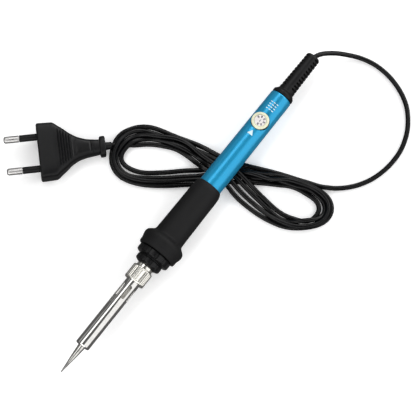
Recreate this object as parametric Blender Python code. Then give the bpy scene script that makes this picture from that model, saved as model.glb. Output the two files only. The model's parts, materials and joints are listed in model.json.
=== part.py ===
"""Adjustable-temperature pencil soldering iron with a mains cord and a two-pin plug.

The iron lies along X with its tip at +X, resting on the flare of its grip and on its own cord.
The origin is on the table under the middle of the iron, and +Z is up.

Sizes are in millimetres and become metres only where a mesh is made. Along the iron a place is
given as its distance back from the tip's point, because every piece is turned about that axis.
"""

import math

import bmesh
import bpy
from mathutils import Matrix, Vector

MM = 0.001
GAP = 0.3  # clearance kept between pieces that touch

# The iron, from the point of the tip backwards.
LENGTH = 231.0
BARREL_FRONT, BARREL_REAR = 18.4, 67.4
SLOT_FRONT, SLOT_REAR = 52.2, 61.0
NUT_FRONT, NUT_REAR = 64.0, 73.0
COLLAR_FRONT, COLLAR_RINGS_END, COLLAR_REAR = 75.2, 84.2, 97.2
COLLAR_STOP = 80.2  # flat front of the wide ring
GRIP_FRONT, GRIP_REAR = 84.5, 133.3
HANDLE_FRONT, HANDLE_REAR = 85.2, 200.0
DIAL_STATION = 179.9
BOARD_FRONT, BOARD_REAR = 124.4, 188.2
BOOT_FRONT, CORD_FRONT = 196.2, 192.2
CORD_SPLIT = 227.6  # the cord's end in the boot is one piece as far as here, and its tail goes on

# Radii about the iron's axis.
FLARE_R = 12.9
HANDLE_FRONT_R, HANDLE_REAR_R = 7.05, 6.7
HANDLE_BORE_R = 5.7
BARREL_R, BARREL_BORE_R = 4.28, 3.8
NUT_R, NUT_BORE_R = 6.2, 5.45
SPIGOT_R = 5.1
HEATER_R = 1.9
AXIS_Z = FLARE_R  # the flare rests on the table

# The dial, with heights above the iron's axis.
DIAL_R = 5.1
DIAL_HOLE_R = 5.4
DIAL_TOP = 7.75
DIAL_BOTTOM = 4.5
SHAFT_R = 1.5
BOARD_TOP = -0.9
BOARD_THICKNESS = 1.2
BOARD_WIDTH = 9.6

# The cord and what it goes through.
CORD_R = 1.4
BOOT_BORE_R = 1.75
HANK_HEIGHT = 5.6

# The plug, in its own frame: +U runs from its front face back along the cord, V is across it.
PLUG_FRONT = Vector((25.3, -90.3, 7.68))
PLUG_DIRECTION_DEG = 135.5
PLUG_TILT_DEG = 4.76  # it lies on the back of its front block and on its flange
PLUG_THICKNESS = 13.7
PLUG_LENGTH = 38.5  # to the back of its flange
PLUG_STUB = 3.6  # moulded collar round the cord, behind the flange
PIN_SPACING = 19.0
PIN_R, PIN_LENGTH = 2.0, 19.0
PIN_CORE_R = 1.2
PIN_HOLE_DEPTH = 8.0
SLEEVE_LENGTH = 10.0


def clear_scene():
    for item in list(bpy.data.objects):
        bpy.data.objects.remove(item, do_unlink=True)


def material(name, colour, roughness, metallic=0.0):
    made = bpy.data.materials.new(name)
    made.use_nodes = True
    shader = made.node_tree.nodes["Principled BSDF"]
    shader.inputs["Base Color"].default_value = (*colour, 1.0)
    shader.inputs["Roughness"].default_value = roughness
    shader.inputs["Metallic"].default_value = metallic
    return made


def make_materials():
    return {
        "tip_plating": material("tip_plating", (0.62, 0.62, 0.60), 0.32, 1.0),
        "stainless": material("stainless", (0.66, 0.65, 0.62), 0.18, 1.0),
        "nickel": material("nickel", (0.72, 0.70, 0.66), 0.25, 1.0),
        "bakelite": material("bakelite", (0.02, 0.02, 0.022), 0.4),
        "silicone": material("silicone", (0.022, 0.022, 0.024), 0.7),
        "blue_plastic": material("blue_plastic", (0.02, 0.28, 0.58), 0.25),
        "cream_plastic": material("cream_plastic", (0.80, 0.76, 0.60), 0.4),
        "ceramic": material("ceramic", (0.85, 0.83, 0.78), 0.5),
        "board": material("board", (0.03, 0.20, 0.08), 0.5),
        "component": material("component", (0.03, 0.03, 0.03), 0.4),
        "component_tan": material("component_tan", (0.55, 0.38, 0.18), 0.5),
        "film": material("film", (0.45, 0.10, 0.05), 0.4),
        "brown_wire": material("brown_wire", (0.16, 0.06, 0.02), 0.5),
        "blue_wire": material("blue_wire", (0.02, 0.08, 0.35), 0.5),
        "black_pvc": material("black_pvc", (0.018, 0.018, 0.018), 0.45),
        "white_nylon": material("white_nylon", (0.80, 0.80, 0.78), 0.5),
        "brass": material("brass", (0.75, 0.70, 0.58), 0.3, 1.0),
    }


def finish(name, bm, look, parent):
    """Turns a bmesh in millimetres into a smooth-shaded object in metres under its parent."""
    bmesh.ops.recalc_face_normals(bm, faces=bm.faces)
    bmesh.ops.scale(bm, vec=(MM, MM, MM), verts=bm.verts)
    mesh = bpy.data.meshes.new(name)
    bm.to_mesh(mesh)
    bm.free()
    mesh.shade_smooth()
    mesh.set_sharp_from_angle(angle=math.radians(32))
    made = bpy.data.objects.new(name, mesh)
    bpy.context.scene.collection.objects.link(made)
    if look:
        mesh.materials.append(look)
    made.parent = parent
    return made


def along(station):
    """X of a place given as its distance back from the point of the tip."""
    return LENGTH / 2 - station


def lathe(outline, sides, closed, axis):
    """A solid of revolution. The outline holds (place along the axis, radius) pairs."""
    bm = bmesh.new()
    if axis == "X":
        ring = [bm.verts.new((along(place), 0.0, radius)) for place, radius in outline]
        direction = (1.0, 0.0, 0.0)
    else:
        ring = [bm.verts.new((radius, 0.0, place)) for place, radius in outline]
        direction = (0.0, 0.0, 1.0)
    pairs = list(zip(ring, ring[1:]))
    if closed:
        pairs.append((ring[-1], ring[0]))
    edges = [bm.edges.new(pair) for pair in pairs]
    bmesh.ops.spin(
        bm,
        geom=ring + edges,
        cent=(0.0, 0.0, 0.0),
        axis=direction,
        dvec=(0.0, 0.0, 0.0),
        angle=math.tau,
        steps=sides,
        use_merge=True,
    )
    bmesh.ops.remove_doubles(bm, verts=bm.verts, dist=1e-4)
    return bm


def turned(name, outline, look, parent, sides=32, closed=True, axis="X"):
    return finish(name, lathe(outline, sides, closed, axis), look, parent)


def notch(made, first, last, least_radius, count, keep, share):
    """Pulls in some of the points between two stations, which cuts even notches round a turned piece.

    Of the points round the axis, one in every share of them is moved, so the piece has count notches
    when it was turned with count times share sides. keep is the part of the radius that is left.
    """
    for vertex in made.data.vertices:
        x, y, z = vertex.co / MM
        inside = along(last) - 0.01 <= x <= along(first) + 0.01
        if not inside or math.hypot(y, z) < least_radius:
            continue
        turn = round(math.atan2(y, z) / math.tau * count * share)
        if turn % share == 0:
            vertex.co.y *= keep
            vertex.co.z *= keep


def prism(bm, outline, low, high, place):
    """Extrudes a flat outline between two heights, and moves it by the matrix."""
    corners = [bm.verts.new((u, v, low)) for u, v in outline]
    base = bm.faces.new(corners)
    raised = bmesh.ops.extrude_face_region(bm, geom=[base])["geom"]
    tops = [item for item in raised if isinstance(item, bmesh.types.BMVert)]
    bmesh.ops.translate(bm, vec=(0.0, 0.0, high - low), verts=tops)
    bmesh.ops.transform(bm, matrix=place, verts=corners + tops)


def block(name, centre, size, look, parent, rounding=0.4):
    """A box with rounded edges."""
    bm = bmesh.new()
    bmesh.ops.create_cube(bm, size=1.0)
    bmesh.ops.scale(bm, vec=size, verts=bm.verts)
    bmesh.ops.bevel(
        bm, geom=bm.edges[:], offset=rounding, segments=2, affect="EDGES", profile=0.5
    )
    bmesh.ops.translate(bm, vec=centre, verts=bm.verts)
    return finish(name, bm, look, parent)


def cutter(name, bm, parent):
    made = finish(name, bm, None, parent)
    made.hide_render = True
    made.display_type = "WIRE"
    return made


def cut(target, tool):
    boolean = target.modifiers.new("cut", "BOOLEAN")
    boolean.operation = "DIFFERENCE"
    boolean.solver = "EXACT"
    boolean.object = tool


def join(target, tool):
    boolean = target.modifiers.new("join", "BOOLEAN")
    boolean.operation = "UNION"
    boolean.solver = "EXACT"
    boolean.object = tool


def smooth_points(route, step):
    """Points about a step apart on a Catmull-Rom curve through the route."""
    places = [Vector(point) for point in route]
    places = [2 * places[0] - places[1], *places, 2 * places[-1] - places[-2]]
    points = [places[1]]
    for a, b, c, d in zip(places, places[1:], places[2:], places[3:]):
        count = max(1, round((c - b).length / step))
        for index in range(1, count + 1):
            t = index / count
            points.append(
                0.5
                * (
                    2 * b
                    + (c - a) * t
                    + (2 * a - 5 * b + 4 * c - d) * t**2
                    + (3 * b - a - 3 * c + d) * t**3
                )
            )
    return points


def tube(name, route, radius, look, parent, step=6.0):
    """A round tube with filled caps along a smooth curve through the route."""
    points = smooth_points(route, step)
    curve = bpy.data.curves.new(name, "CURVE")
    curve.dimensions = "3D"
    curve.bevel_depth = radius * MM
    curve.bevel_resolution = 2
    curve.use_fill_caps = True
    spline = curve.splines.new("POLY")
    spline.points.add(len(points) - 1)
    for spot, point in zip(spline.points, points):
        spot.co = (*(point * MM), 1.0)
    curve.materials.append(look)
    made = bpy.data.objects.new(name, curve)
    bpy.context.scene.collection.objects.link(made)
    made.parent = parent
    return made


def stadium(length, width, segments=6):
    """Outline of a slot with round ends, along U."""
    half, radius = length / 2 - width / 2, width / 2
    outline = []
    for side in (1, -1):
        for index in range(segments + 1):
            angle = math.pi * index / segments - math.pi / 2
            outline.append(
                (side * (half + radius * math.cos(angle)), side * radius * math.sin(angle))
            )
    return outline


# Front end: tip, barrel, nut and the spigot that they are screwed to.


def make_tip(look, parent):
    """Long conical bit with a hollow shank, which slips over the heater."""
    outline = [
        (0.0, 0.0),
        (0.06, 0.22),
        (0.5, 0.35),
        (5.5, 0.88),
        (10.9, 1.5),
        (17.8, 2.15),
        (19.6, 2.2),
        (19.7, 3.3),
        (20.0, 3.5),
        (22.9, 3.5),
        (23.4, 3.15),
        (43.2, 3.15),
        (43.2, 2.2),
        (27.2, 2.2),
        (26.2, 0.0),
    ]
    return turned("tip", outline, look, parent, sides=24, closed=False)


def make_barrel(look, parent):
    """Stainless tube with a rolled lip in front, six cooling slots and a flange behind."""
    outline = [
        (BARREL_FRONT, 2.5),
        (BARREL_FRONT, 3.6),
        (BARREL_FRONT + 0.2, 4.0),
        (BARREL_FRONT + 0.7, BARREL_R),
        (BARREL_REAR - 1.4, BARREL_R),
        (BARREL_REAR - 1.4, SPIGOT_R),
        (BARREL_REAR, SPIGOT_R),
        (BARREL_REAR, BARREL_BORE_R),
        (BARREL_FRONT + 1.0, BARREL_BORE_R),
        (BARREL_FRONT + 1.0, 2.5),
    ]
    barrel = turned("barrel_tube", outline, look, parent, sides=36)
    bm = bmesh.new()
    slot = stadium(SLOT_REAR - SLOT_FRONT, 2.0)
    middle = along((SLOT_FRONT + SLOT_REAR) / 2)
    for index in range(6):
        turn = Matrix.Rotation(math.radians(-19 - 60 * index), 4, "X")
        prism(bm, slot, 3.0, 5.2, turn @ Matrix.Translation((middle, 0.0, 0.0)))
    cut(barrel, cutter("barrel_slot_cutter", bm, parent))
    return barrel


def make_nut(look, parent):
    """Fluted union nut. It turns about the iron's axis."""
    outline = [
        (NUT_FRONT, 4.6),
        (NUT_FRONT, 5.8),
        (NUT_FRONT + 0.6, NUT_R),
        (NUT_REAR - 0.8, NUT_R),
        (NUT_REAR, 5.8),
        (NUT_REAR, NUT_BORE_R),
        (NUT_FRONT + 1.7, NUT_BORE_R),
        (NUT_FRONT + 1.7, 4.6),
    ]
    nut = turned("barrel_nut", outline, look, parent, sides=48)
    notch(nut, NUT_FRONT + 0.6, NUT_REAR - 0.8, 6.0, 24, 0.955, 2)
    return nut


def make_spigot(look, parent):
    """Threaded metal spigot that the nut pulls the barrel on to, held in the collar."""
    front = BARREL_REAR + GAP
    outline = [(front, 3.9), (front, 4.7)]
    crest = front + 0.5
    while crest < NUT_REAR - 0.6:
        outline += [(crest, SPIGOT_R), (crest + 0.6, 4.75)]
        crest += 1.2
    outline += [(73.3, 4.75), (73.3, 4.95), (74.9, 4.95), (74.9, 4.7), (89.2, 4.7), (89.2, 3.9)]
    return turned("threaded_spigot", outline, look, parent, sides=20)


def make_collar(look, parent):
    """Heat-resistant collar with two notched rings, plugged into the handle."""
    outline = [
        (COLLAR_FRONT, 5.0),
        (COLLAR_FRONT, 5.6),
        (75.9, 7.4),
        (76.4, 7.95),
        (79.0, 7.95),
        (79.3, 7.4),
        (79.8, 7.4),
        (COLLAR_STOP, 8.1),
        (COLLAR_STOP, 9.7),
        (80.8, 10.35),
        (83.8, 10.35),
        (COLLAR_RINGS_END, 10.1),
        (COLLAR_RINGS_END, 5.7),
        (COLLAR_REAR, 5.7),
        (COLLAR_REAR, 5.0),
    ]
    collar = turned("front_collar", outline, look, parent, sides=48)
    notch(collar, 76.4, 79.0, 7.6, 12, 0.94, 4)
    notch(collar, 80.8, 83.8, 10.2, 12, 0.94, 4)
    return collar


def make_heater(looks, parent):
    """Ceramic rod heater, the ring that centres it in the spigot, and its two sleeved leads."""
    rod = [(28.2, 0.0), (28.2, 1.6), (28.6, HEATER_R), (87.2, HEATER_R), (87.2, 0.0)]
    turned("heater_rod", rod, looks["ceramic"], parent, sides=20, closed=False)
    ring = [(77.2, 2.2), (77.2, 3.6), (82.2, 3.6), (82.2, 2.2)]
    turned("heater_ring", ring, looks["ceramic"], parent, sides=24)
    for name, side in (("heater_lead_left", -1), ("heater_lead_right", 1)):
        route = [
            (along(87.5), side * 0.9, 0.0),
            (along(95.2), side * 1.4, 0.0),
            (along(109.2), side * 2.6, 0.2),
            (along(BOARD_FRONT - GAP), side * 2.8, -1.5),
        ]
        tube(name, route, 0.7, looks["white_nylon"], parent)


# Handle: shell, grip, dial and the electronics inside.


def make_shell(look, parent):
    """Tubular handle with a round hole in its top for the dial."""
    outline = [
        (HANDLE_FRONT, 6.0),
        (HANDLE_FRONT, HANDLE_FRONT_R),
        (137.0, HANDLE_FRONT_R),
        (170.0, 6.85),
        (HANDLE_REAR - 0.5, HANDLE_REAR_R),
        (HANDLE_REAR, HANDLE_REAR_R - 0.3),
        (HANDLE_REAR, HANDLE_BORE_R),
        (98.2, HANDLE_BORE_R),
        (98.2, 6.0),
    ]
    shell = turned("handle_shell", outline, look, parent, sides=36)
    hole = lathe([(3.0, 0.0), (3.0, DIAL_HOLE_R), (9.0, DIAL_HOLE_R), (9.0, 0.0)], 36, False, "Z")
    bmesh.ops.translate(hole, vec=(along(DIAL_STATION), 0.0, 0.0), verts=hole.verts)
    cut(shell, cutter("dial_hole_cutter", hole, parent))
    return shell


def make_grip(look, parent):
    """Soft sleeve with a round flare in front, pushed over the handle."""
    outline = [
        (GRIP_FRONT, 7.3),
        (GRIP_FRONT, 11.6),
        (84.9, 11.95),
        (87.4, 12.05),
        (89.2, 12.6),
        (91.0, FLARE_R),
        (92.6, 12.45),
        (93.8, 11.2),
        (94.8, 9.7),
        (95.8, 9.1),
        (100.0, 8.95),
        (126.0, 8.65),
        (130.4, 8.5),
        (132.2, 8.05),
        (GRIP_REAR, 7.5),
        (GRIP_REAR, 7.3),
    ]
    return turned("grip_sleeve", outline, look, parent, sides=36)


def make_dial(looks, parent, dial_axis):
    """Temperature dial on its shaft. Both have their origin on the axis that they turn about."""
    knob = [
        (7.45, 0.0),
        (7.45, 3.75),
        (DIAL_TOP, 4.1),
        (DIAL_TOP, 4.7),
        (DIAL_TOP - 0.35, DIAL_R),
        (DIAL_BOTTOM, DIAL_R),
        (DIAL_BOTTOM, 1.8),
        (6.4, 1.8),
        (6.4, 0.0),
    ]
    turned("dial_knob", knob, looks["cream_plastic"], dial_axis, 36, closed=False, axis="Z")
    shaft = [(2.9, 0.0), (2.9, SHAFT_R), (5.8, SHAFT_R), (6.1, 1.2), (6.1, 0.0)]
    turned("dial_shaft", shaft, looks["white_nylon"], dial_axis, 16, closed=False, axis="Z")
    x = along(DIAL_STATION)
    body = block(
        "potentiometer_body", (x, 0.0, 0.0), (8.4, 8.0, 1.2), looks["component"], parent
    )
    drum = lathe([(0.3, 0.0), (0.3, 3.7), (2.6, 3.7), (2.6, 0.0)], 24, False, "Z")
    bmesh.ops.translate(drum, vec=(x, 0.0, 0.0), verts=drum.verts)
    join(body, cutter("potentiometer_drum", drum, parent))


def make_board(looks, parent):
    """Triac dimmer board and the parts soldered on it."""
    length = BOARD_REAR - BOARD_FRONT
    middle = along((BOARD_FRONT + BOARD_REAR) / 2)
    board_z = BOARD_TOP - BOARD_THICKNESS / 2
    seat = BOARD_TOP + GAP
    block(
        "circuit_board",
        (middle, 0.0, board_z),
        (length, BOARD_WIDTH, BOARD_THICKNESS),
        looks["board"],
        parent,
        rounding=0.2,
    )
    make_triac(looks["component"], parent, along(159.0), seat)
    block("film_capacitor", (along(147.0), 0.0, seat + 2.4), (11.0, 4.6, 4.8), looks["film"], parent)
    for name, station, side in (("gate_resistor", 133.0, 1), ("series_resistor", 133.0, -1)):
        make_resistor(name, station, side * 2.3, seat + 1.25, looks["component_tan"], parent)
    diac = [(166.4, 0.0), (166.4, 0.9), (170.0, 0.9), (170.0, 0.0)]
    made = turned("diac", diac, looks["film"], parent, sides=12, closed=False)
    made.location = Vector((0.0, -2.4, seat + 0.95)) * MM


def make_triac(look, parent, x, seat):
    """Small transistor case: round behind, flat in front."""
    outline = [(-2.4, 1.4)]
    for index in range(11):
        angle = math.radians(150 + 240 * index / 10)
        outline.append((2.4 * math.cos(angle), 2.4 * math.sin(angle) + 0.2))
    outline = outline[1:]
    bm = bmesh.new()
    prism(bm, outline, seat, seat + 4.6, Matrix.Translation((x, 0.0, 0.0)))
    finish("triac", bm, look, parent)


def make_resistor(name, station, y, z, look, parent):
    half = 3.2
    outline = [
        (station - half, 0.0),
        (station - half, 0.9),
        (station - half + 0.4, 1.2),
        (station - 1.9, 1.2),
        (station - 1.5, 1.0),
        (station + 1.5, 1.0),
        (station + 1.9, 1.2),
        (station + half - 0.4, 1.2),
        (station + half, 0.9),
        (station + half, 0.0),
    ]
    made = turned(name, outline, look, parent, sides=14, closed=False)
    made.location = Vector((0.0, y, z)) * MM


# Rear end: strain relief, the cord's end inside it, and the wires to the board.


def make_boot(look, parent):
    """Tapered strain relief, slotted on its two sides so that it bends."""
    outline = [
        (BOOT_FRONT, BOOT_BORE_R),
        (BOOT_FRONT, 5.3),
        (HANDLE_REAR + GAP, 5.3),
        (HANDLE_REAR + GAP, 6.3),
        (200.8, 6.6),
        (202.2, 6.6),
        (202.8, 6.15),
        (204.2, 4.9),
        (214.0, 4.65),
        (230.0, 4.35),
        (LENGTH, 3.9),
        (LENGTH, BOOT_BORE_R),
    ]
    boot = turned("strain_relief_boot", outline, look, parent, sides=24)
    pitch, width, web = 2.2, 1.0, 2.2
    bm = bmesh.new()
    for side in (1, -1):
        station = 207.0
        while station < LENGTH - 1.0:
            place = Matrix.Translation((along(station), side * (web + 2.5), 0.0))
            size = Matrix.Diagonal((width, 5.0, 14.0, 1.0))
            bmesh.ops.create_cube(bm, size=1.0, matrix=place @ size)
            station += pitch
    cut(boot, cutter("boot_slot_cutter", bm, parent))
    return boot


def make_cord_end(looks, parent):
    """The cord's end inside the boot, the tie that stops it pulling out, and its two cores."""
    end = [(CORD_FRONT, 0.0), (CORD_FRONT, CORD_R), (CORD_SPLIT, CORD_R), (CORD_SPLIT, 0.0)]
    turned("cord_sheath_end", end, looks["black_pvc"], parent, sides=12, closed=False)
    tie = [(193.2, BOOT_BORE_R), (193.2, 2.7), (195.7, 2.7), (195.7, BOOT_BORE_R)]
    turned("cord_tie", tie, looks["white_nylon"], parent, sides=20)
    for name, side, look in (("live_wire", 1, "brown_wire"), ("neutral_wire", -1, "blue_wire")):
        route = [
            (along(CORD_FRONT - GAP), side * 0.75, 0.0),
            (along(190.4), side * 1.2, -0.4),
            (along(BOARD_REAR + GAP), side * 1.9, -1.5),
        ]
        tube(name, route, 0.6, looks[look], parent, step=2.0)


# Cord: a loose tail behind the boot, and the hank under the handle, which meets the plug.

TAIL_ROUTE = [
    (-112.4, 0.0, 12.9),
    (-115.5, 0.2, 12.9),
    (-118.6, 1.3, 12.2),
    (-122.0, 3.4, 10.6),
    (-125.4, 6.2, 8.4),
    (-128.4, 9.2, 6.3),
    (-132.0, 14.0, 3.8),
    (-135.0, 19.5, 2.2),
    (-136.9, 26.0, 1.6),
    (-137.4, 33.0, 1.5),
    (-136.3, 41.5, 1.5),
    (-133.2, 50.5, 1.5),
    (-128.4, 58.3, 1.5),
    (-122.0, 64.2, 1.5),
    (-114.9, 68.5, 1.5),
    (-106.4, 71.3, 1.5),
    (-98.5, 72.1, 1.5),
    (-90.0, 71.4, 1.5),
    (-81.3, 69.0, 1.5),
    (-74.4, 65.5, 1.5),
    (-68.7, 61.2, 1.5),
    (-63.6, 55.8, 1.5),
]

HANK_OUTLINE = [
    (-44.1, 5.5),
    (-47.0, 12.6),
    (-52.8, 27.0),
    (-57.7, 40.6),
    (-60.2, 47.4),
    (-59.8, 52.2),
    (-57.3, 57.4),
    (-53.6, 61.3),
    (-48.4, 63.3),
    (-43.5, 62.7),
    (-37.0, 59.0),
    (-30.9, 53.7),
    (-25.9, 43.6),
    (-23.1, 31.6),
    (-22.8, 21.4),
    (-23.2, 10.3),
    (-22.4, 2.6),
    (-20.4, -4.8),
    (-14.0, -10.4),
    (-7.2, -17.1),
    (-0.5, -26.0),
    (4.8, -34.2),
    (7.4, -42.4),
    (7.0, -49.9),
    (4.0, -54.2),
    (-1.5, -56.8),
    (-6.4, -61.3),
    (-13.1, -61.8),
    (-21.0, -59.4),
    (-26.2, -54.8),
    (-29.5, -48.9),
    (-31.4, -43.1),
    (-32.9, -37.2),
    (-35.9, -27.5),
    (-38.8, -15.9),
    (-41.8, -3.6),
]

LEFT_HOLE = [
    (-3.6, -52.0),
    (-9.6, -51.8),
    (-17.2, -43.6),
    (-22.4, -35.8),
    (-25.2, -28.0),
    (-25.0, -15.4),
    (-19.6, -20.4),
    (-12.3, -28.2),
    (-6.4, -35.4),
    (-3.2, -43.4),
]

RIGHT_HOLE = [
    (-37.0, 19.4),
    (-43.4, 27.2),
    (-47.6, 35.0),
    (-49.6, 42.8),
    (-49.6, 49.8),
    (-47.2, 53.8),
    (-42.6, 54.8),
    (-36.2, 48.8),
    (-34.6, 37.6),
    (-35.2, 27.6),
]


def plug_turn():
    """Rotation from the plug's frame to the table's: its axis drops towards the cord."""
    turn = Matrix.Rotation(math.radians(PLUG_DIRECTION_DEG), 4, "Z")
    return turn @ Matrix.Rotation(math.radians(PLUG_TILT_DEG), 4, "Y")


def make_cord(look):
    tube("cord_tail", TAIL_ROUTE, CORD_R, look, None, step=6.5)
    make_hank(look)


def closed_points(outline, count):
    """Points on a closed Catmull-Rom curve, count of them from each corner to the next."""
    places = [Vector(point) for point in outline]
    points = []
    for index, b in enumerate(places):
        a = places[index - 1]
        c = places[(index + 1) % len(places)]
        d = places[(index + 2) % len(places)]
        for step in range(count):
            t = step / count
            points.append(
                0.5
                * (
                    2 * b
                    + (c - a) * t
                    + (2 * a - 5 * b + 4 * c - d) * t**2
                    + (3 * b - a - 3 * c + d) * t**3
                )
            )
    return points


def make_hank(look):
    """The wound cord as one solid: a figure of eight with its two open loops."""
    curve = bpy.data.curves.new("cord_hank", "CURVE")
    curve.dimensions = "2D"
    curve.fill_mode = "BOTH"
    curve.extrude = HANK_HEIGHT / 2 * MM
    for outline in (HANK_OUTLINE, LEFT_HOLE, RIGHT_HOLE):
        points = closed_points(outline, 2)
        spline = curve.splines.new("POLY")
        spline.points.add(len(points) - 1)
        for spot, point in zip(spline.points, points):
            spot.co = (point.x * MM, point.y * MM, 0.0, 1.0)
        spline.use_cyclic_u = True
    curve.materials.append(look)
    made = bpy.data.objects.new("cord_hank", curve)
    bpy.context.scene.collection.objects.link(made)
    made.location.z = HANK_HEIGHT / 2 * MM


# Plug.


def make_plug_frame():
    """Empty at the middle of the plug's front face, with +X back along the cord and +Z up."""
    frame = bpy.data.objects.new("plug_frame", None)
    bpy.context.scene.collection.objects.link(frame)
    frame.location = PLUG_FRONT * MM
    frame.rotation_euler = plug_turn().to_euler()
    return frame


def plug_sections():
    """(place along U, half width, half thickness) of the plug's cross-sections."""
    front = PLUG_THICKNESS / 2
    return [
        (0.0, 15.8, front - 0.6),
        (0.6, 16.4, front),
        (9.6, 16.1, front),
        (12.0, 14.1, front - 0.3),
        (14.8, 12.1, front - 0.7),
        (18.6, 8.9, front - 1.3),
        (22.8, 6.5, front - 1.8),
        (27.7, 5.1, front - 2.3),
        (34.8, 4.3, 3.9),
        (35.2, 5.8, 4.3),
        (35.9, 6.1, 4.5),
        (37.8, 6.1, 4.5),
        (38.3, 5.7, 4.2),
        (PLUG_LENGTH, 2.2, 2.2),
        (PLUG_LENGTH + PLUG_STUB - 0.2, 2.0, 2.0),
        (PLUG_LENGTH + PLUG_STUB, 1.8, 1.8),
    ]


def section_loop(bm, u, half_width, half_height, points=24):
    """A superellipse across U: nearly a rectangle in front, rounder at the tail, and last a circle."""
    power = 0.28 if half_width > 7 else 0.7 if half_width > 3 else 1.0
    loop = []
    for index in range(points):
        angle = math.tau * index / points + math.tau / points / 2
        c, s = math.cos(angle), math.sin(angle)
        v = half_width * math.copysign(abs(c) ** power, c)
        w = half_height * math.copysign(abs(s) ** power, s)
        loop.append(bm.verts.new((u, v, w)))
    return loop


def make_plug_body(look, frame):
    """Moulded flat plug, waisted behind its shoulders and flanged where the cord leaves."""
    bm = bmesh.new()
    loops = [section_loop(bm, *section) for section in plug_sections()]
    bm.faces.new(loops[0])
    for near, far in zip(loops, loops[1:]):
        for index in range(len(near)):
            after = (index + 1) % len(near)
            bm.faces.new((near[index], far[index], far[after], near[after]))
    bm.faces.new(loops[-1])
    body = finish("plug_body", bm, look, frame)
    bm = bmesh.new()
    for side in (-1, 1):
        bmesh.ops.create_cone(
            bm,
            cap_ends=True,
            segments=16,
            radius1=PIN_R + GAP,
            radius2=PIN_R + GAP,
            depth=2 * PIN_HOLE_DEPTH,
            matrix=Matrix.Translation((0.0, side * PIN_SPACING / 2, 0.0))
            @ Matrix.Rotation(math.pi / 2, 4, "Y"),
        )
    cut(body, cutter("pin_hole_cutter", bm, frame))


def make_pins(metal, sleeve_look, frame):
    """Two round pins, each with an insulating sleeve over its root, moulded into the body."""
    root = PIN_HOLE_DEPTH - GAP
    pin = [
        (root, 0.0),
        (root, PIN_CORE_R),
        (-SLEEVE_LENGTH - GAP, PIN_CORE_R),
        (-SLEEVE_LENGTH - GAP, PIN_R),
        (-PIN_LENGTH + 1.4, PIN_R),
        (-PIN_LENGTH + 0.4, 1.5),
        (-PIN_LENGTH, 0.8),
        (-PIN_LENGTH, 0.0),
    ]
    inner = PIN_CORE_R + GAP
    sleeve = [(root, inner), (root, PIN_R), (-SLEEVE_LENGTH, PIN_R), (-SLEEVE_LENGTH, inner)]
    upright = Matrix.Rotation(math.pi / 2, 4, "Y")
    for name, side in (("left", -1), ("right", 1)):
        for title, outline, look, closed in (
            (f"plug_pin_{name}", pin, metal, False),
            (f"pin_sleeve_{name}", sleeve, sleeve_look, True),
        ):
            bm = lathe(outline, 20, closed, "Z")
            bmesh.ops.transform(bm, matrix=upright, verts=bm.verts)
            bmesh.ops.translate(bm, vec=(0.0, side * PIN_SPACING / 2, 0.0), verts=bm.verts)
            finish(title, bm, look, frame)


def make_empty(name, x, z):
    made = bpy.data.objects.new(name, None)
    bpy.context.scene.collection.objects.link(made)
    made.location = (x * MM, 0.0, z * MM)
    return made


def main():
    clear_scene()
    looks = make_materials()
    iron_axis = make_empty("iron_axis", 0.0, AXIS_Z)
    dial_axis = make_empty("dial_axis", along(DIAL_STATION), AXIS_Z)
    make_tip(looks["tip_plating"], iron_axis)
    make_barrel(looks["stainless"], iron_axis)
    make_nut(looks["nickel"], iron_axis)
    make_spigot(looks["nickel"], iron_axis)
    make_collar(looks["bakelite"], iron_axis)
    make_heater(looks, iron_axis)
    make_shell(looks["blue_plastic"], iron_axis)
    make_grip(looks["silicone"], iron_axis)
    make_dial(looks, iron_axis, dial_axis)
    make_board(looks, iron_axis)
    make_boot(looks["black_pvc"], iron_axis)
    make_cord_end(looks, iron_axis)
    make_cord(looks["black_pvc"])
    plug_frame = make_plug_frame()
    make_plug_body(looks["black_pvc"], plug_frame)
    make_pins(looks["brass"], looks["black_pvc"], plug_frame)


main()
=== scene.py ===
"""Looks of a pencil soldering iron with a temperature dial, a wound mains cord and a two-pin plug.

Lengths are in millimetres and become metres where an object is made. A place along the iron is its
distance back from the point of the tip, and round pieces are turned about the iron's axis.
"""

import json
import math

import bmesh
import bpy
import numpy as np
from mathutils import Matrix, Vector


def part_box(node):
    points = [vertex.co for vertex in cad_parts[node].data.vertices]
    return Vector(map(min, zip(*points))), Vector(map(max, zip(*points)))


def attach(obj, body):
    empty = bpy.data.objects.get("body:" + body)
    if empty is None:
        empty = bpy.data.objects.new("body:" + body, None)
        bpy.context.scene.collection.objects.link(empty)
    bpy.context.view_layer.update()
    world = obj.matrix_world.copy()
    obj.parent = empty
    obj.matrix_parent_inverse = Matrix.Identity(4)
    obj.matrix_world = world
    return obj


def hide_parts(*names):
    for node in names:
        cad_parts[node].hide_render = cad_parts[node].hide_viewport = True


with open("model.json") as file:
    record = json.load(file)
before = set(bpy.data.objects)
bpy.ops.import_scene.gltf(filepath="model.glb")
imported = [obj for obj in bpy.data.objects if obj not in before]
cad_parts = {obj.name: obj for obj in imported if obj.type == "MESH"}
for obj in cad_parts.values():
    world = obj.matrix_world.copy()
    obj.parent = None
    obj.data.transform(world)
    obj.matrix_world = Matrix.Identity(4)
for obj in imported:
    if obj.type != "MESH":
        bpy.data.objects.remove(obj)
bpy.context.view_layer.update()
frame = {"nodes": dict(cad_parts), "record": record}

MM = 0.001

TIP_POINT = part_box("tip")[1].x / MM
AXIS_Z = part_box("grip_sleeve")[1].z / MM / 2
HANDLE_REAR_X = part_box("handle_shell")[0].x / MM
GRIP_REAR_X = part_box("grip_sleeve")[0].x / MM
HANDLE_R = 7.05
GRIP_REAR_R = 8.7


# ---------------------------------------------------------------- cord

CORD_R = 1.4
CORD_D = 2 * CORD_R

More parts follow.
